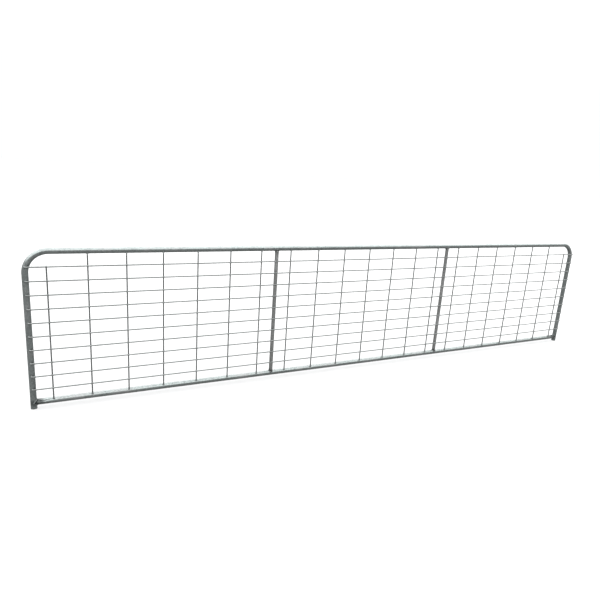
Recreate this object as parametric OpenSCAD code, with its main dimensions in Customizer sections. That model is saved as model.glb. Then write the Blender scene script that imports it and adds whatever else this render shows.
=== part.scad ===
// Livestock panel gate.
// A bent tube hoop, a bottom rail and two stays, filled with welded wire mesh.
// X runs along the gate from the hinge leg, Y is its thickness with the mesh face at -Y, Z is up.
// The origin is on the hinge leg's axis at the open foot of the leg.

/* [Mesh] */
// Spacing of the upright wires along the gate
wire_pitch_x = 200; // [150:1:260]
// Spacing of the lengthwise wires up the gate
wire_pitch_z = 75; // [50:1:120]
// Diameter of the lengthwise wires
lengthwise_wire_d = 8; // [4:0.1:10]
// Diameter of the upright wires
upright_wire_d = 8; // [4:0.1:10]
// Distance from each leg's axis to the nearest upright wire
side_gap = 100; // [80:1:140]
// Distance from each rail's axis to the nearest lengthwise wire
rail_gap = 80; // [70:1:100]
// How far the lengthwise wires reach past the legs' axes
end_lap = 3; // [0:0.5:6]

/* [Frame] */
// Outside diameter of the hoop and the bottom rail
tube_d = 33.7; // [32:0.1:42.4]
// Wall thickness of the hoop and the bottom rail
tube_wall = 2; // [1.6:0.1:4]
// Radius of the two top corners, to the middle of the tube
bend_r = 115; // [105:1:130]
// Height of the bottom rail's axis above the feet of the legs
foot_h = 36; // [30:1:90]

/* [Stays] */
// Outside diameter of the stays
stay_d = 25; // [21.3:0.1:30]
// Wall thickness of the stays
stay_wall = 1.6; // [1.2:0.1:3]
// How far the stays stand behind the fronts of the rails
stay_inset = 0.6; // [0.4:0.1:1.5]

/* [Welds] */
// Leg length of the fillet welds between tubes
fillet = 3; // [2:0.1:5]
// Radius of the tack welds at the ends of the wires
end_tack_r = 6.5; // [6:0.1:8]
// Radius of the tack welds between the lengthwise wires and the stays
stay_tack_r = 3.2; // [2.5:0.1:4]

/* [Hidden] */
$fn = 64;
lengthwise_count = 10;
upright_count = 21;

tube_r = tube_d / 2;
stay_r = stay_d / 2;
lengthwise_r = lengthwise_wire_d / 2;
upright_r = upright_wire_d / 2;

// The frame, from the mesh that it holds
leg_spacing = (upright_count - 1) * wire_pitch_x + 2 * side_gap;
bottom_rail_z = foot_h;
top_rail_z = bottom_rail_z + (lengthwise_count - 1) * wire_pitch_z + 2 * rail_gap;
bend_z = top_rail_z - bend_r;
leg_xs = [0, leg_spacing];

// The lengthwise wires lie on the fronts of the legs, the upright wires just behind them
front_y = -tube_r;
lengthwise_y = front_y - lengthwise_r;
upright_y = front_y + upright_r;

// The stays stand at the thirds of the clear width, close behind the lengthwise wires
stay_y = front_y + stay_inset + stay_r;
stay_step = (leg_spacing - tube_d) / 3;
stay_xs = [tube_r + stay_step, tube_r + 2 * stay_step];

// Distance from a rail's axis at which the square end of an upright wire meets the rail
wire_end_gap = 0.1;
rail_flank = sqrt(pow(tube_r, 2) - pow(front_y + upright_wire_d, 2)) + wire_end_gap;
upright_stub = 6;
overrun = 20;

// Wire 1 is the top one, and wire 1 of the uprights is nearest the hinge leg
function lengthwise_z(i) = top_rail_z - rail_gap - (i - 1) * wire_pitch_z;
function upright_x(i) = side_gap + (i - 1) * wire_pitch_x;
upright_bottom_z = bottom_rail_z + rail_flank;
function is_outer_upright(i) = i == 1 || i == upright_count;
function upright_top_z(i) =
    is_outer_upright(i) ? lengthwise_z(1) + upright_stub : top_rail_z - rail_flank;

// Two digits, so that the names sort
function two_digits(i) = i < 10 ? str("0", i) : str(i);
function lengthwise_name(i) = str("lengthwise_wire_", two_digits(i));
function upright_name(i) = str("upright_wire_", two_digits(i));

tube_colour = [0.50, 0.54, 0.54];
stay_colour = [0.55, 0.57, 0.57];
wire_colour = [0.62, 0.63, 0.61];
weld_colour = [0.42, 0.45, 0.45];

// A solid rod along X from x0 to x1
module rod_x(r, x0, x1, y, z) {
    translate([x0, y, z])
        rotate([0, 90, 0])
            cylinder(r = r, h = x1 - x0);
}

// A solid rod along Z from z0 to z1
module rod_z(r, x, y, z0, z1) {
    translate([x, y, z0])
        cylinder(r = r, h = z1 - z0);
}

// A quarter of a torus from the leg's axis to the top rail's axis, on the hinge side
module corner(r) {
    translate([bend_r, 0, bend_z])
        rotate([90, 0, 0])
            rotate([0, 0, 90])
                rotate_extrude(angle = 90)
                    translate([bend_r, 0])
                        circle(r = r);
}

// The hoop's path as a solid rod, its legs lengthened downward by extra
module hoop_rod(r, extra) {
    for (x = leg_xs)
        rod_z(r, x, 0, -extra, bend_z);
    rod_x(r, bend_r, leg_spacing - bend_r, 0, top_rail_z);
    corner(r);
    translate([leg_spacing, 0, 0])
        mirror([1, 0, 0])
            corner(r);
}

// One length of tube bent into both legs and the top rail, open at the feet
module frame_hoop() {
    color(tube_colour)
        difference() {
            hoop_rod(tube_r, 0);
            hoop_rod(tube_r - tube_wall, overrun);
        }
}

// The bottom rail, its ends cut to saddle the legs
module bottom_rail() {
    color(tube_colour)
        difference() {
            rod_x(tube_r, 0, leg_spacing, 0, bottom_rail_z);
            rod_x(tube_r - tube_wall, -overrun, leg_spacing + overrun, 0, bottom_rail_z);
            for (x = leg_xs)
                rod_z(tube_r, x, 0, -overrun, 2 * bottom_rail_z);
        }
}

// A stay, its ends cut to saddle the rails
module stay(x) {
    color(stay_colour)
        difference() {
            rod_z(stay_r, x, stay_y, bottom_rail_z, top_rail_z);
            rod_z(stay_r - stay_wall, x, stay_y, 0, top_rail_z + overrun);
            for (z = [bottom_rail_z, top_rail_z])
                rod_x(tube_r, x - 2 * stay_d, x + 2 * stay_d, 0, z);
        }
}

// A wire along the gate, lapping the fronts of the legs and the stays
module lengthwise_wire(i) {
    color(wire_colour)
        rod_x(lengthwise_r, -end_lap, leg_spacing + end_lap, lengthwise_y, lengthwise_z(i));
}

// An upright wire between the rails; the outer two stop at the top lengthwise wire
module upright_wire(i) {
    color(wire_colour)
        rod_z(upright_r, upright_x(i), upright_y, upright_bottom_z, upright_top_z(i));
}

// Its children, mirrored from the hinge leg's end of the gate to the latch leg's end
module at_latch_end() {
    translate([leg_spacing, 0, 0])
        mirror([1, 0, 0])
            children();
}

// Its children, mirrored from the top end of a stay to its foot
module at_stay_foot() {
    translate([0, 0, bottom_rail_z + top_rail_z])
        mirror([0, 0, 1])
            children();
}

// The fillet weld round the end of the bottom rail at the hinge leg
module rail_weld() {
    reach = tube_r + fillet;
    color(weld_colour)
        difference() {
            intersection() {
                rod_x(reach, 0, reach, 0, bottom_rail_z);
                rod_z(reach, 0, 0, 0, bottom_rail_z + tube_d);
            }
            rod_z(tube_r, 0, 0, -overrun, bottom_rail_z + 2 * tube_d);
            rod_x(tube_r, -overrun, reach + overrun, 0, bottom_rail_z);
        }
}

// The fillet weld round the top end of the stay at x
module stay_weld(x) {
    reach = tube_r + fillet;
    color(weld_colour)
        difference() {
            intersection() {
                rod_z(stay_r + fillet, x, stay_y, top_rail_z - reach, top_rail_z);
                rod_x(reach, x - stay_d, x + stay_d, 0, top_rail_z);
            }
            rod_x(tube_r, x - 2 * stay_d, x + 2 * stay_d, 0, top_rail_z);
            rod_z(stay_r, x, stay_y, top_rail_z - reach - overrun, top_rail_z + overrun);
        }
}

// The tacks that hold the ends of the lengthwise wires to the hinge leg
module leg_tacks() {
    color(weld_colour)
        for (i = [1 : lengthwise_count])
            difference() {
                translate([-end_lap, front_y, lengthwise_z(i)])
                    sphere(r = end_tack_r);
                hoop_rod(tube_r, 0);
                lengthwise_wire(i);
            }
}

// The tacks above and below each lengthwise wire where it crosses a stay
module stay_tacks(x) {
    offset_z = lengthwise_r + stay_tack_r / 3;
    color(weld_colour)
        for (i = [1 : lengthwise_count], side = [1, -1])
            difference() {
                translate([x, front_y - stay_tack_r / 4, lengthwise_z(i) + side * offset_z])
                    sphere(r = stay_tack_r);
                rod_z(stay_r, x, stay_y, bottom_rail_z, top_rail_z);
                rod_x(lengthwise_r, x - stay_d, x + stay_d, lengthwise_y, lengthwise_z(i));
            }
}

// The tack that holds the end of an upright wire to a rail
module rail_tack(i, end_z, rail_z) {
    color(weld_colour)
        difference() {
            translate([upright_x(i), upright_y, end_z])
                sphere(r = end_tack_r);
            rod_x(tube_r, upright_x(i) - tube_d, upright_x(i) + tube_d, 0, rail_z);
            upright_wire(i);
        }
}

module top_rail_wire_tacks() {
    for (i = [2 : upright_count - 1])
        rail_tack(i, upright_top_z(i), top_rail_z);
}

module bottom_rail_wire_tacks() {
    for (i = [1 : upright_count])
        rail_tack(i, upright_bottom_z, bottom_rail_z);
}

frame_hoop();
bottom_rail();
stay(stay_xs[0]);  // hinge_side_stay
stay(stay_xs[1]);  // latch_side_stay
for (i = [1 : lengthwise_count])
    lengthwise_wire(i);
for (i = [1 : upright_count])
    upright_wire(i);
rail_weld();  // hinge_leg_rail_weld
at_latch_end() rail_weld();  // latch_leg_rail_weld
stay_weld(stay_xs[0]);  // hinge_side_stay_top_weld
at_stay_foot() stay_weld(stay_xs[0]);  // hinge_side_stay_foot_weld
stay_weld(stay_xs[1]);  // latch_side_stay_top_weld
at_stay_foot() stay_weld(stay_xs[1]);  // latch_side_stay_foot_weld
leg_tacks();  // hinge_leg_wire_tacks
at_latch_end() leg_tacks();  // latch_leg_wire_tacks
stay_tacks(stay_xs[0]);  // hinge_side_stay_tacks
stay_tacks(stay_xs[1]);  // latch_side_stay_tacks
top_rail_wire_tacks();
bottom_rail_wire_tacks();
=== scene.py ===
"""Galvanised livestock panel gate: tube frame, welded wire mesh, weld beads and studio scene."""
import math
import random

import bpy
from mathutils import Matrix, Vector, noise


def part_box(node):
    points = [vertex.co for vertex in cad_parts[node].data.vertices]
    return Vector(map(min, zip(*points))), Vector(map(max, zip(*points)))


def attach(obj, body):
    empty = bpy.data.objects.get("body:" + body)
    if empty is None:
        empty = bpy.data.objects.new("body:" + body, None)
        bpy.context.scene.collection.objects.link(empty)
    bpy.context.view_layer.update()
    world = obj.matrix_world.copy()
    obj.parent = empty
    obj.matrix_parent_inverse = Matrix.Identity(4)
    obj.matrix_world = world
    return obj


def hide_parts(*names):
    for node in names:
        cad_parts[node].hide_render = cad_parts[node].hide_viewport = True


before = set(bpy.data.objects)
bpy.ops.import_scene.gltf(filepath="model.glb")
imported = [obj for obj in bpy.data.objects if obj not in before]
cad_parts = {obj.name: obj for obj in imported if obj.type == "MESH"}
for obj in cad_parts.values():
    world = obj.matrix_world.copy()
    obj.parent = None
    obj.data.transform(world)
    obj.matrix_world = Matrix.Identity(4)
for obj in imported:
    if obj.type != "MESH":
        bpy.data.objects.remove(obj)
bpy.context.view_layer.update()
random.seed(14)
noise.seed_set(14)      # noise_vector would take its offsets from the clock
MM = 0.001

LENGTHWISE = sorted(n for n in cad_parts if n.startswith("lengthwise_wire_"))
UPRIGHT = sorted(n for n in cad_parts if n.startswith("upright_wire_"))
STAYS = ("hinge_side_stay", "latch_side_stay")


# ---------------------------------------------------------------- measures from the CAD frame

def middle(node):
    low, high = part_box(node)
    return (low + high) / 2


def size(node):
    low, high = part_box(node)
    return high - low


HOOP_LOW, HOOP_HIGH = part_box("frame_hoop")
RAIL = middle("bottom_rail")
TUBE_R = size("bottom_rail").z / 2
TUBE_WALL = 2 * MM
BEND_R = 115 * MM      # to the middle of the tube
LEG_X = (HOOP_LOW.x + TUBE_R, HOOP_HIGH.x - TUBE_R)
TOP_Z = HOOP_HIGH.z - TUBE_R
BOTTOM_Z = RAIL.z
STAY_R = size(STAYS[0]).x / 2
STAY_WALL = 1.6 * MM
WIRE_R = size(LENGTHWISE[1]).z / 2
STAY_AT = [middle(s) for s in STAYS]
CONTACT_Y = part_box(LENGTHWISE[1])[1].y      # the plane between the two layers of wires
EDGE = 0.5 * MM        # the length over which a cut end is broken
TUBE_SIDES, STAY_SIDES, WIRE_SIDES = 48, 40, 16


# ---------------------------------------------------------------- mesh helpers

def add_mesh(name, verts, faces, material, smooth=True):
    mesh = bpy.data.meshes.new(name)
    mesh.from_pydata([tuple(v) for v in verts], [], faces)
    mesh.validate()
    mesh.update()
    mesh.polygons.foreach_set("use_smooth", [smooth] * len(mesh.polygons))
    mesh.materials.append(material)
    piece = bpy.data.objects.new(name, mesh)
    bpy.context.scene.collection.objects.link(piece)
    return piece


def finish_piece(piece, slot, *nodes):
    """Rides on the one body and stands for the CAD nodes; slot is not used."""
    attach(piece, "root")
    if nodes:
        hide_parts(*nodes)
    return piece


def frames_along(points, closed=False):
    """Tangent and two normals at each point, carried along so that the tube doesn't twist."""
    count = len(points)
    tangents = []
    for i in range(count):
        if closed:
            before, after = points[i - 1], points[(i + 1) % count]
        else:
            before, after = points[max(i - 1, 0)], points[min(i + 1, count - 1)]
        tangents.append((after - before).normalized())
    start = Vector((0, 1, 0)) if abs(tangents[0].y) < 0.9 else Vector((1, 0, 0))
    side = (start - tangents[0] * start.dot(tangents[0])).normalized()
    result = []
    for tangent in tangents:
        side = (side - tangent * side.dot(tangent)).normalized()
        result.append((tangent, side, tangent.cross(side)))
    return result


def ring(centre, side, up, radius, sides):
    """Points round centre; radius is a number or a function of the angle."""
    points = []
    for k in range(sides):
        angle = 2 * math.pi * k / sides
        r = radius(angle) if callable(radius) else radius
        points.append(centre + side * (r * math.cos(angle)) + up * (r * math.sin(angle)))
    return points


def bridge(faces, first, second, sides):
    for k in range(sides):
        n = (k + 1) % sides
        faces.append((first + k, first + n, second + n, second + k))


def rod_verts(points, radii, sides):
    """A solid rod along points with closed, softly rounded ends, as (verts, faces)."""
    verts, faces = [], []
    for i, (tangent, side, up) in enumerate(frames_along(points)):
        verts += ring(points[i], side, up, radii[i], sides)
        if i:
            bridge(faces, (i - 1) * sides, i * sides, sides)
    faces.append(tuple(reversed(range(sides))))
    last = (len(points) - 1) * sides
    faces.append(tuple(range(last, last + sides)))
    return verts, faces


def join(parts):
    """One vertex list and one face list from several (verts, faces)."""
    verts, faces = [], []
    for part_verts, part_faces in parts:
        base = len(verts)
        verts += part_verts
        faces += [tuple(base + k for k in face) for face in part_faces]
    return verts, faces


# ---------------------------------------------------------------- materials

class Tree:
    """A small helper for writing node materials."""

    def __init__(self, name):
        self.material = bpy.data.materials.new(name)
        self.material.use_nodes = True
        self.tree = self.material.node_tree
        self.tree.nodes.clear()

    def add(self, kind, **settings):
        made = self.tree.nodes.new(kind)
        for key, value in settings.items():
            setattr(made, key, value)
        return made

    def link(self, source, target):
        self.tree.links.new(source, target)

    def put(self, target, value):
        """Links a socket, or sets a constant."""
        if isinstance(value, bpy.types.NodeSocket):
            self.link(value, target)
        else:
            target.default_value = value

    def math(self, operation, a, b=0.0, clamp=False):
        made = self.add("ShaderNodeMath", operation=operation, use_clamp=clamp)
        self.put(made.inputs[0], a)
        self.put(made.inputs[1], b)
        return made.outputs[0]

    def spread(self, value, low, high, to_low=0.0, to_high=1.0):
        made = self.add("ShaderNodeMapRange", interpolation_type="SMOOTHSTEP")
        self.put(made.inputs["Value"], value)
        self.put(made.inputs["From Min"], low)
        self.put(made.inputs["From Max"], high)
        self.put(made.inputs["To Min"], to_low)
        self.put(made.inputs["To Max"], to_high)
        return made.outputs[0]

    def mix(self, factor, a, b, blend="MIX"):
        made = self.add("ShaderNodeMix", data_type="RGBA", blend_type=blend)
        self.put(made.inputs["Factor"], factor)
        self.put(made.inputs["A"], a)
        self.put(made.inputs["B"], b)
        return made.outputs["Result"]

    def noise(self, where, scale, detail=2.0, rough=0.5, distort=0.0):
        made = self.add("ShaderNodeTexNoise")
        self.link(where, made.inputs["Vector"])
        made.inputs["Scale"].default_value = scale
        made.inputs["Detail"].default_value = detail
        made.inputs["Roughness"].default_value = rough
        made.inputs["Distortion"].default_value = distort
        return made.outputs["Fac"]

    def cells(self, where, scale, feature="F1"):
        made = self.add("ShaderNodeTexVoronoi", feature=feature)
        self.link(where, made.inputs["Vector"])
        made.inputs["Scale"].default_value = scale
        return made

    def bump(self, height, strength, distance, normal=None):
        made = self.add("ShaderNodeBump")
        made.inputs["Strength"].default_value = strength
        made.inputs["Distance"].default_value = distance
        self.link(height, made.inputs["Height"])
        if normal is not None:
            self.link(normal, made.inputs["Normal"])
        return made.outputs[0]

    def finish(self, colour, roughness, normal, metallic, glow=0.0):
        shader = self.add("ShaderNodeBsdfPrincipled")
        self.put(shader.inputs["Base Color"], colour)
        self.put(shader.inputs["Roughness"], roughness)
        self.link(normal, shader.inputs["Normal"])
        shader.inputs["Metallic"].default_value = metallic
        shader.inputs["Emission Color"].default_value = (1.0, 1.0, 1.0, 1.0)
        shader.inputs["Emission Strength"].default_value = glow
        output = self.add("ShaderNodeOutputMaterial")
        self.link(shader.outputs[0], output.inputs["Surface"])
        return self.material


def grey(level, tint=(1.0, 1.0, 1.0)):
    return (level * tint[0], level * tint[1], level * tint[2], 1.0)


def zinc(name, level, tint, spangle, rough, metallic, burnt=None):
    """Hot-dip zinc: crystal spangle, dull patina, faint vertical runs and fine grain.

    spangle is the size of a crystal in metres. burnt, if given, is a function of the tree and
    the object coordinates that returns a mask of the weld-darkened zones."""
    t = Tree(name)
    where = t.add("ShaderNodeTexCoord").outputs["Object"]
    wobble = t.add("ShaderNodeTexNoise")
    t.link(where, wobble.inputs["Vector"])
    wobble.inputs["Scale"].default_value = 0.9 / spangle
    bent = t.add("ShaderNodeVectorMath", operation="MULTIPLY_ADD")
    t.link(wobble.outputs["Color"], bent.inputs[0])
    bent.inputs[1].default_value = (0.45 * spangle,) * 3
    t.link(where, bent.inputs[2])
    crystals = t.cells(bent.outputs[0], 1 / spangle)
    edges = t.cells(bent.outputs[0], 1 / spangle, "DISTANCE_TO_EDGE")
    split = t.add("ShaderNodeSeparateColor")
    t.link(crystals.outputs["Color"], split.inputs[0])
    feathers = t.noise(where, 4.5 / spangle, 3.0, 0.6)

    patina = t.spread(t.noise(where, 7.0, 5.0, 0.62, 0.4), 0.47, 0.66)
    stretch = t.add("ShaderNodeMapping")
    t.link(where, stretch.inputs["Vector"])
    stretch.inputs["Scale"].default_value = (70.0, 70.0, 4.0)
    runs = t.spread(t.noise(stretch.outputs[0], 1.0, 3.0), 0.56, 0.75)

    dark = grey(level * 0.80, tint)
    light = grey(level * 1.22, tint)
    shade = t.math("ADD", t.math("MULTIPLY", split.outputs[0], 0.7),
                   t.math("MULTIPLY", feathers, 0.3))
    colour = t.mix(shade, dark, light)
    colour = t.mix(t.math("MULTIPLY", patina, 0.55), colour, grey(level * 1.30))
    colour = t.mix(t.math("MULTIPLY", runs, 0.25), colour, grey(level * 0.66, tint))
    roughness = t.math("ADD", t.math("MULTIPLY", split.outputs[1], 0.16), rough - 0.08)
    roughness = t.math("ADD", roughness, t.math("MULTIPLY", patina, 0.14), clamp=True)
    if burnt is not None:
        mask = burnt(t, where)
        colour = t.mix(mask, colour, grey(level * 0.42, tint))
        roughness = t.math("ADD", roughness, t.math("MULTIPLY", mask, 0.12), clamp=True)
    groove = t.spread(edges.outputs["Distance"], 0.0, 0.06)
    normal = t.bump(groove, 0.12, 0.0001)
    normal = t.bump(split.outputs[2], 0.10, 0.0004, normal)
    normal = t.bump(t.noise(where, 1500.0, 2.0), 0.10, 0.0002, normal)
    normal = t.bump(t.noise(where, 55.0, 3.0), 0.16, 0.0012, normal)
    return t.finish(colour, roughness, normal, metallic)


def near_heights(heights, reach):
    """A mask of the zones within reach of the given heights, with a ragged edge."""
    def mask(t, where):
        split = t.add("ShaderNodeSeparateXYZ")
        t.link(where, split.inputs[0])
        ragged = t.math("MULTIPLY", t.noise(where, 120.0, 3.0), 0.5 * reach)
        total = None
        for height in heights:
            away = t.math("ABSOLUTE", t.math("SUBTRACT", split.outputs["Z"], height))
            near = t.spread(t.math("ADD", away, ragged), 0.4 * reach, 1.5 * reach, 0.85, 0.0)
            total = near if total is None else t.math("MAXIMUM", total, near)
        return total
    return mask


def near_ends(node, reach):
    """A mask of the two ends of a lengthwise piece."""
    low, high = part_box(node)

    def mask(t, where):
        split = t.add("ShaderNodeSeparateXYZ")
        t.link(where, split.inputs[0])
        away = t.math("ABSOLUTE", t.math("SUBTRACT", split.outputs["X"], (low.x + high.x) / 2))
        ragged = t.math("MULTIPLY", t.noise(where, 140.0, 3.0), 0.5 * reach)
        inside = t.math("ADD", t.math("SUBTRACT", (high.x - low.x) / 2, away), ragged)
        return t.spread(inside, 0.3 * reach, 1.6 * reach, 0.8, 0.0)
    return mask


def weld_metal():
    """Weld metal under zinc: dark, lumpy and rougher than the tube."""
    t = Tree("galvanised_weld")
    where = t.add("ShaderNodeTexCoord").outputs["Object"]
    blotch = t.spread(t.noise(where, 190.0, 4.0, 0.6), 0.40, 0.66)
    colour = t.mix(blotch, (0.050, 0.054, 0.054, 1), (0.105, 0.112, 0.110, 1))
    scale_spots = t.spread(t.noise(where, 700.0, 2.0), 0.62, 0.70)
    colour = t.mix(t.math("MULTIPLY", scale_spots, 0.5), colour, (0.15, 0.15, 0.143, 1))
    roughness = t.math("ADD", t.math("MULTIPLY", blotch, 0.2), 0.46)
    normal = t.bump(t.noise(where, 600.0, 3.0), 0.35, 0.0004)
    normal = t.bump(t.noise(where, 2400.0, 2.0), 0.2, 0.0001, normal)
    return t.finish(colour, roughness, normal, 0.88)


ZINC_METALLIC = 0.93
TUBE_LEVEL, STAY_LEVEL, WIRE_LEVEL = 0.100, 0.120, 0.080
TUBE_TINT, STAY_TINT, WIRE_TINT = (0.93, 1.02, 1.0), (1.0, 1.01, 0.99), (0.96, 1.01, 0.99)
TUBE_SPANGLE, STAY_SPANGLE, WIRE_SPANGLE = 9 * MM, 8 * MM, 3.2 * MM
TUBE_ROUGHNESS, STAY_ROUGHNESS = 0.33, 0.36
TUBE_BURN, STAY_BURN = 22 * MM, 16 * MM      # how far the welds have darkened the zinc
HOOP_ZINC = zinc("galvanised_hoop", TUBE_LEVEL, TUBE_TINT, TUBE_SPANGLE, TUBE_ROUGHNESS,
                 ZINC_METALLIC, near_heights([BOTTOM_Z], TUBE_BURN))
RAIL_ZINC = zinc("galvanised_rail", TUBE_LEVEL, TUBE_TINT, TUBE_SPANGLE, TUBE_ROUGHNESS,
                 ZINC_METALLIC, near_ends("bottom_rail", TUBE_BURN))
STAY_ZINC = zinc("galvanised_stay", STAY_LEVEL, STAY_TINT, STAY_SPANGLE, STAY_ROUGHNESS,
                 ZINC_METALLIC, near_heights([BOTTOM_Z + TUBE_R, TOP_Z - TUBE_R], STAY_BURN))
WIRE_ZINC = zinc("galvanised_wire", WIRE_LEVEL, WIRE_TINT, WIRE_SPANGLE, TUBE_ROUGHNESS,
                 ZINC_METALLIC)
WELD = weld_metal()


# ---------------------------------------------------------------- tubes

def hoop_path():
    """The hoop's centre line: up the hinge leg, along the top and down the latch leg."""
    points, bends = [], []
    bend_z = TOP_Z - BEND_R
    straight_steps, bend_steps, rail_steps = 18, 22, 84
    heights = [0.0, EDGE, 3 * EDGE]
    heights += [bend_z * k / straight_steps for k in range(1, straight_steps)]
    for z in heights:
        points.append(Vector((LEG_X[0], 0, HOOP_LOW.z + z)))
        bends.append(0.0)
    for k in range(bend_steps + 1):
        angle = math.pi / 2 * k / bend_steps
        points.append(Vector((LEG_X[0] + BEND_R * (1 - math.cos(angle)), 0,
                              bend_z + BEND_R * math.sin(angle))))
        bends.append(math.sin(math.pi * k / bend_steps))
    start, end = LEG_X[0] + BEND_R, LEG_X[1] - BEND_R
    for k in range(1, rail_steps):
        points.append(Vector((start + (end - start) * k / rail_steps, 0, TOP_Z)))
        bends.append(0.0)
    for k in range(bend_steps + 1):
        angle = math.pi / 2 * k / bend_steps
        points.append(Vector((end + BEND_R * math.sin(angle), 0,
                              bend_z + BEND_R * math.cos(angle))))
        bends.append(math.sin(math.pi * k / bend_steps))
    for z in reversed(heights):
        points.append(Vector((LEG_X[1], 0, HOOP_LOW.z + z)))
        bends.append(0.0)
    return points, bends


def hollow_tube(points, outer, inner, sides, flatten=None, lip=0.35 * MM):
    """An open tube along points with slightly broken edges; flatten squeezes the bends in plane."""
    steps = frames_along(points)
    count = len(points)
    flatten = flatten or [0.0] * count
    verts, faces = [], []

    def add_ring(i, radius):
        tangent, side, up = steps[i]
        squeeze = 0.035 * flatten[i]

        def oval(angle):
            return radius * (1 + squeeze * (0.35 * math.cos(angle) ** 2 - math.sin(angle) ** 2))
        verts.extend(ring(points[i], side, up, oval, sides))

    for i in range(count):
        add_ring(i, outer - (lip if i in (0, count - 1) else 0.0))
    for i in reversed(range(count)):
        add_ring(i, inner + (lip if i in (0, count - 1) else 0.0))
    total = 2 * count
    for i in range(total):
        bridge(faces, i * sides, ((i + 1) % total) * sides, sides)
    return verts, faces


def build_hoop():
    points, bends = hoop_path()
    verts, faces = hollow_tube(points, TUBE_R, TUBE_R - TUBE_WALL, TUBE_SIDES, bends)
    piece = add_mesh("frame_hoop_tube", verts, faces, HOOP_ZINC)
    finish_piece(piece, "galvanised_tube", "frame_hoop")


def saddled_tube(start, end, side, outer, wall, other_r, offset, sides):
    """A tube from start to end whose ends are cut to saddle round tubes of radius other_r.

    start and end lie on the axes of those round tubes, side is the direction square to both
    axes, and offset is how far this tube's axis stands off theirs along side."""
    axis = (end - start).normalized()
    length = (end - start).length
    across = axis.cross(side)
    steps = 42
    verts, faces = [], []
    for radius in (outer, outer - wall):
        for k in range(steps + 1):
            for j in range(sides):
                angle = 2 * math.pi * j / sides
                away = offset + radius * math.cos(angle)
                cut = math.sqrt(max(other_r ** 2 - away ** 2, 0.0))
                along = cut + (length - 2 * cut) * k / steps
                verts.append(start + axis * along + side * (radius * math.cos(angle) + offset)
                             + across * (radius * math.sin(angle)))
    inner = (steps + 1) * sides
    for k in range(steps):
        bridge(faces, k * sides, (k + 1) * sides, sides)
        bridge(faces, inner + (k + 1) * sides, inner + k * sides, sides)
    bridge(faces, inner, 0, sides)
    bridge(faces, steps * sides, inner + steps * sides, sides)
    return verts, faces


def build_bottom_rail():
    start = Vector((LEG_X[0], 0, BOTTOM_Z))
    end = Vector((LEG_X[1], 0, BOTTOM_Z))
    verts, faces = saddled_tube(start, end, Vector((0, 1, 0)), TUBE_R, TUBE_WALL, TUBE_R,
                                0.0, TUBE_SIDES)
    piece = add_mesh("bottom_rail_tube", verts, faces, RAIL_ZINC)
    finish_piece(piece, "galvanised_tube", "bottom_rail")


def build_stays():
    for name, at in zip(STAYS, STAY_AT):
        start = Vector((at.x, 0, BOTTOM_Z))
        end = Vector((at.x, 0, TOP_Z))
        verts, faces = saddled_tube(start, end, Vector((0, 1, 0)), STAY_R, STAY_WALL, TUBE_R,
                                    at.y, STAY_SIDES)
        piece = add_mesh(name + "_tube", verts, faces, STAY_ZINC)
        finish_piece(piece, "galvanised_tube", name)


# ---------------------------------------------------------------- wires

WIRE_STEP = 20 * MM        # between the rings along a wire
WIRE_EDGE = 0.45 * MM      # how much the sheared ends are rounded off
WAVE = 0.35 * MM           # how far the wires stray from straight
WAVE_FADE = 60 * MM        # over which the waves die out towards the ends


def wire(name, along):
    """A drawn wire between the ends of its CAD node, with the faint waves of a welded mesh."""
    low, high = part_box(name)
    centre = (low + high) / 2
    axis = 0 if along == "x" else 2
    length = high[axis] - low[axis]
    radius = (high.y - low.y) / 2
    steps = max(int(length / WIRE_STEP), 2)
    stops = [0.0, EDGE] + [length * k / steps for k in range(1, steps)] + [length - EDGE, length]
    points, radii = [], []
    for stop in stops:
        point = centre.copy()
        point[axis] = low[axis] + stop
        wave = noise.noise_vector(point * 3.1) * WAVE
        wave[axis] = 0.0
        fade = min(1.0, stop / WAVE_FADE, (length - stop) / WAVE_FADE)
        points.append(point + wave * fade)
        radii.append(radius * (1 + 0.02 * noise.noise(point * 40)))
    radii[0] -= WIRE_EDGE
    radii[-1] -= WIRE_EDGE
    verts, faces = rod_verts(points, radii, WIRE_SIDES)
    piece = add_mesh(name + "_drawn", verts, faces, WIRE_ZINC)
    finish_piece(piece, "galvanised_wire", name)


def build_wires():
    for name in LENGTHWISE:
        wire(name, "x")
    for name in UPRIGHT:
        wire(name, "z")


# ---------------------------------------------------------------- welds

# half sizes of the lumps along X, Y and Z, then how far they sit in from a wire's end (IN),
# on beyond it (PAST), out from the wire (OUT) or towards the front (FORWARD)
LEG_TACK, LEG_TACK_IN, LEG_TACK_FORWARD = (5.0 * MM, 4.2 * MM, 6.2 * MM), 2.0 * MM, 1.2 * MM
RAIL_TACK, RAIL_TACK_PAST, RAIL_TACK_FORWARD = (5.7 * MM, 4.6 * MM, 4.6 * MM), 0.8 * MM, 0.4 * MM
STAY_TACK, STAY_TACK_OUT, STAY_TACK_FORWARD = (4.4 * MM, 2.0 * MM, 2.5 * MM), 0.2 * MM, 0.2 * MM
STAY_TACK_SCATTER = 0.6
COLLAR_WIDTH = (3.3 * MM, 3.9 * MM)      # least and most
COLLAR_DEPTH = (2.0 * MM, 2.4 * MM)
STAY_BEAD, RAIL_BEAD = 2.7 * MM, 2.8 * MM
STAY_BEAD_STEPS, RAIL_BEAD_STEPS = 150, 190
TACK_UNEVENNESS, COLLAR_UNEVENNESS = 0.2, 0.22
RIPPLE = 2.6 * MM          # the length of a weld ripple


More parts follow.
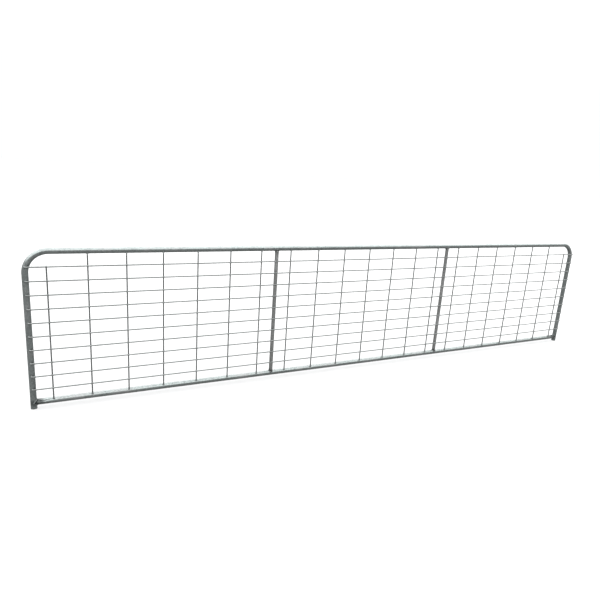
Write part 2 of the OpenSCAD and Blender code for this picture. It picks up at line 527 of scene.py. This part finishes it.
def unit_ball(level):
    """Vertices and faces of a ball of rings, used for every lump of weld metal."""
    rings, sides = level, 2 * level
    verts = [Vector((0, 0, 1))]
    for r in range(1, rings):
        polar = math.pi * r / rings
        for k in range(sides):
            turn = 2 * math.pi * k / sides
            verts.append(Vector((math.sin(polar) * math.cos(turn),
                                 math.sin(polar) * math.sin(turn), math.cos(polar))))
    verts.append(Vector((0, 0, -1)))
    faces = [(0, 1 + k, 1 + (k + 1) % sides) for k in range(sides)]
    for r in range(rings - 2):
        for k in range(sides):
            n = (k + 1) % sides
            a = 1 + r * sides
            faces.append((a + k, a + sides + k, a + sides + n, a + n))
    last = len(verts) - 1
    base = 1 + (rings - 2) * sides
    faces += [(last, base + (k + 1) % sides, base + k) for k in range(sides)]
    return verts, faces


COARSE_BALL = unit_ball(6)
FINE_BALL = unit_ball(9)


def lump(ball, centre, radii, roughness=TACK_UNEVENNESS):
    """A ball stretched to radii and made uneven, as (verts, faces)."""
    source, faces = ball
    seed = Vector((random.uniform(0, 50), random.uniform(0, 50), random.uniform(0, 50)))
    verts = []
    for v in source:
        swell = 1 + roughness * noise.noise(v * 1.7 + seed)
        swell += 0.4 * roughness * noise.noise(v * 4 + seed)
        verts.append(centre + Vector((v.x * radii[0], v.y * radii[1], v.z * radii[2])) * swell)
    return verts, faces


def build_mesh_welds():
    """The resistance welds: a thin irregular collar squeezed out where two wires cross."""
    parts = []
    for name in LENGTHWISE:
        z = middle(name).z
        for other in UPRIGHT:
            x = middle(other).x
            wide = random.uniform(*COLLAR_WIDTH)
            parts.append(lump(COARSE_BALL, Vector((x, CONTACT_Y, z)),
                              (wide, random.uniform(*COLLAR_DEPTH), wide), COLLAR_UNEVENNESS))
    verts, faces = join(parts)
    piece = add_mesh("mesh_spot_welds", verts, faces, WELD)
    finish_piece(piece, "galvanised_weld")


def build_leg_tacks():
    for side, node in ((1, "hinge_leg_wire_tacks"), (-1, "latch_leg_wire_tacks")):
        parts = []
        for name in LENGTHWISE:
            low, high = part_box(name)
            end_x = low.x if side > 0 else high.x
            z = (low.z + high.z) / 2
            centre = Vector((end_x + side * LEG_TACK_IN, CONTACT_Y - LEG_TACK_FORWARD, z))
            parts.append(lump(FINE_BALL, centre, LEG_TACK))
        verts, faces = join(parts)
        piece = add_mesh(node + "_beads", verts, faces, WELD)
        finish_piece(piece, "galvanised_weld", node)


def build_rail_tacks():
    rows = (("top_rail_wire_tacks", UPRIGHT[1:-1], 1), ("bottom_rail_wire_tacks", UPRIGHT, -1))
    for node, wires, side in rows:
        parts = []
        for name in wires:
            low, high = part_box(name)
            end_z = high.z if side > 0 else low.z
            centre = Vector(((low.x + high.x) / 2, (low.y + high.y) / 2 - RAIL_TACK_FORWARD,
                             end_z + side * RAIL_TACK_PAST))
            parts.append(lump(FINE_BALL, centre, RAIL_TACK))
        verts, faces = join(parts)
        piece = add_mesh(node + "_beads", verts, faces, WELD)
        finish_piece(piece, "galvanised_weld", node)


def build_stay_tacks():
    for stay, at in zip(STAYS, STAY_AT):
        parts = []
        front = at.y - STAY_R
        for name in LENGTHWISE:
            z = middle(name).z
            for side in (1, -1):
                scatter = random.uniform(-STAY_TACK_SCATTER, STAY_TACK_SCATTER) * MM
                centre = Vector((at.x + scatter, front - STAY_TACK_FORWARD,
                                 z + side * (WIRE_R + STAY_TACK_OUT)))
                parts.append(lump(COARSE_BALL, centre, STAY_TACK))
        verts, faces = join(parts)
        piece = add_mesh(stay + "_tack_beads", verts, faces, WELD)
        finish_piece(piece, "galvanised_weld", stay + "_tacks")


def bead(path, outward, radius, sides=12):
    """A closed fillet bead with weld ripples along path, as (verts, faces)."""
    verts, faces = [], []
    count = len(path)
    travelled = 0.0
    seed = random.uniform(0, 40)
    for i, (tangent, _, _) in enumerate(frames_along(path, closed=True)):
        if i:
            travelled += (path[i] - path[i - 1]).length
        out = (outward[i] - tangent * outward[i].dot(tangent)).normalized()
        phase = (travelled / RIPPLE) % 1.0
        swell = 1 + 0.10 * (1 - phase) + 0.10 * noise.noise(path[i] * 160 + Vector((seed, 0, 0)))
        verts += ring(path[i] + out * (0.25 * radius), out, tangent.cross(out), radius * swell,
                      sides)
        bridge(faces, i * sides, ((i + 1) % count) * sides, sides)
    return verts, faces


def saddle_path(corner, axis, side, radius, other_r, offset, count):
    """Where a tube along axis meets a round tube through corner: the points and outward normals."""
    across = axis.cross(side)
    path, outward = [], []
    for k in range(count):
        angle = 2 * math.pi * k / count
        away = offset + radius * math.cos(angle)
        cut = math.sqrt(max(other_r ** 2 - away ** 2, 0.0))
        round_normal = side * math.cos(angle) + across * math.sin(angle)
        base_normal = (axis * cut + side * away).normalized()
        path.append(corner + axis * cut + side * away + across * (radius * math.sin(angle)))
        outward.append((round_normal + base_normal).normalized())
    return path, outward


def build_tube_beads():
    up, along, back = Vector((0, 0, 1)), Vector((1, 0, 0)), Vector((0, 1, 0))
    for stay, at in zip(STAYS, STAY_AT):
        for end, z, axis in (("top", TOP_Z, -up), ("foot", BOTTOM_Z, up)):
            path, outward = saddle_path(Vector((at.x, 0, z)), axis, back, STAY_R, TUBE_R, at.y,
                                        STAY_BEAD_STEPS)
            verts, faces = bead(path, outward, STAY_BEAD)
            node = f"{stay}_{end}_weld"
            piece = add_mesh(node + "_bead", verts, faces, WELD)
            finish_piece(piece, "galvanised_weld", node)
    rail_ends = (("hinge_leg_rail_weld", LEG_X[0], along),
                 ("latch_leg_rail_weld", LEG_X[1], -along))
    for node, x, axis in rail_ends:
        path, outward = saddle_path(Vector((x, 0, BOTTOM_Z)), axis, back, TUBE_R, TUBE_R, 0.0,
                                    RAIL_BEAD_STEPS)
        verts, faces = bead(path, outward, RAIL_BEAD)
        piece = add_mesh(node + "_bead", verts, faces, WELD)
        finish_piece(piece, "galvanised_weld", node)


# ---------------------------------------------------------------- studio

HORIZON_LIGHT = 1.02
OVERHEAD_LIGHT = 8.6
DOME_LOW, DOME_HIGH = 0.14, 0.62      # between these the light climbs, as sines of elevation
FLOOR_LEVEL = 0.076
FLOOR_SIDES, FLOOR_REACH = 96, 60.0
FLOOR_GLOW = 0.52      # keeps the floor white beside the gate
CAMERA_TURN = math.radians(27.25), math.radians(14.51), math.radians(3.85)
CAMERA_LENS = 31.10
CAMERA_AT = (0.077, -2.943, 1.381)


def build_floor():
    """A round, plain pale floor, wide enough to reach the horizon in every view."""
    turns = [2 * math.pi * k / FLOOR_SIDES for k in range(FLOOR_SIDES)]
    verts = [Vector((RAIL.x + FLOOR_REACH * math.cos(turn), FLOOR_REACH * math.sin(turn),
                     HOOP_LOW.z)) for turn in turns]
    t = Tree("studio_floor")
    where = t.add("ShaderNodeTexCoord").outputs["Object"]
    tone = t.noise(where, 1.5, 2.0)
    colour = t.mix(tone, grey(FLOOR_LEVEL * 0.985), grey(FLOOR_LEVEL * 1.015))
    normal = t.bump(t.noise(where, 300.0, 2.0), 0.02, 0.0005)
    material = t.finish(colour, 0.9, normal, 0.0, FLOOR_GLOW)
    floor = add_mesh("studio_floor", verts, [tuple(range(FLOOR_SIDES))], material, smooth=False)


def build_lights():
    """A soft white dome, dim towards the horizon and bright overhead like a large softbox."""
    world = bpy.data.worlds.new("studio")
    world.use_nodes = True
    tree = world.node_tree
    where = tree.nodes.new("ShaderNodeTexCoord")
    split = tree.nodes.new("ShaderNodeSeparateXYZ")
    climb = tree.nodes.new("ShaderNodeMapRange")
    climb.interpolation_type = "SMOOTHSTEP"
    climb.inputs["From Min"].default_value = DOME_LOW
    climb.inputs["From Max"].default_value = DOME_HIGH
    climb.inputs["To Min"].default_value = HORIZON_LIGHT
    climb.inputs["To Max"].default_value = OVERHEAD_LIGHT
    background = tree.nodes["Background"]
    background.inputs["Color"].default_value = (0.985, 0.995, 1.0, 1.0)
    tree.links.new(where.outputs["Generated"], split.inputs[0])
    tree.links.new(split.outputs["Z"], climb.inputs["Value"])
    tree.links.new(climb.outputs[0], background.inputs["Strength"])
    bpy.context.scene.world = world


def build_camera():
    """Three quarters on from the front of the hinge end, slightly above and a little tilted."""
    azimuth, elevation, roll = CAMERA_TURN
    forward = Vector((math.sin(azimuth) * math.cos(elevation),
                      math.cos(azimuth) * math.cos(elevation), -math.sin(elevation)))
    level = Vector((math.cos(azimuth), -math.sin(azimuth), 0))
    upward = level.cross(forward)
    right = level * math.cos(roll) + upward * math.sin(roll)
    top = upward * math.cos(roll) - level * math.sin(roll)
    data = bpy.data.cameras.new("camera")
    data.lens = CAMERA_LENS
    data.sensor_width = 36
    data.clip_start, data.clip_end = 0.05, 400
    camera = bpy.data.objects.new("camera", data)
    camera.matrix_world = Matrix((
        (right.x, top.x, -forward.x, CAMERA_AT[0]),
        (right.y, top.y, -forward.y, CAMERA_AT[1]),
        (right.z, top.z, -forward.z, CAMERA_AT[2]),
        (0, 0, 0, 1)))
    bpy.context.scene.collection.objects.link(camera)
    bpy.context.scene.camera = camera


build_hoop()
build_bottom_rail()
build_stays()
build_wires()
build_mesh_welds()
build_leg_tacks()
build_rail_tacks()
build_stay_tacks()
build_tube_beads()
build_floor()
build_lights()
build_camera()
bpy.context.scene.view_settings.view_transform = "Standard"
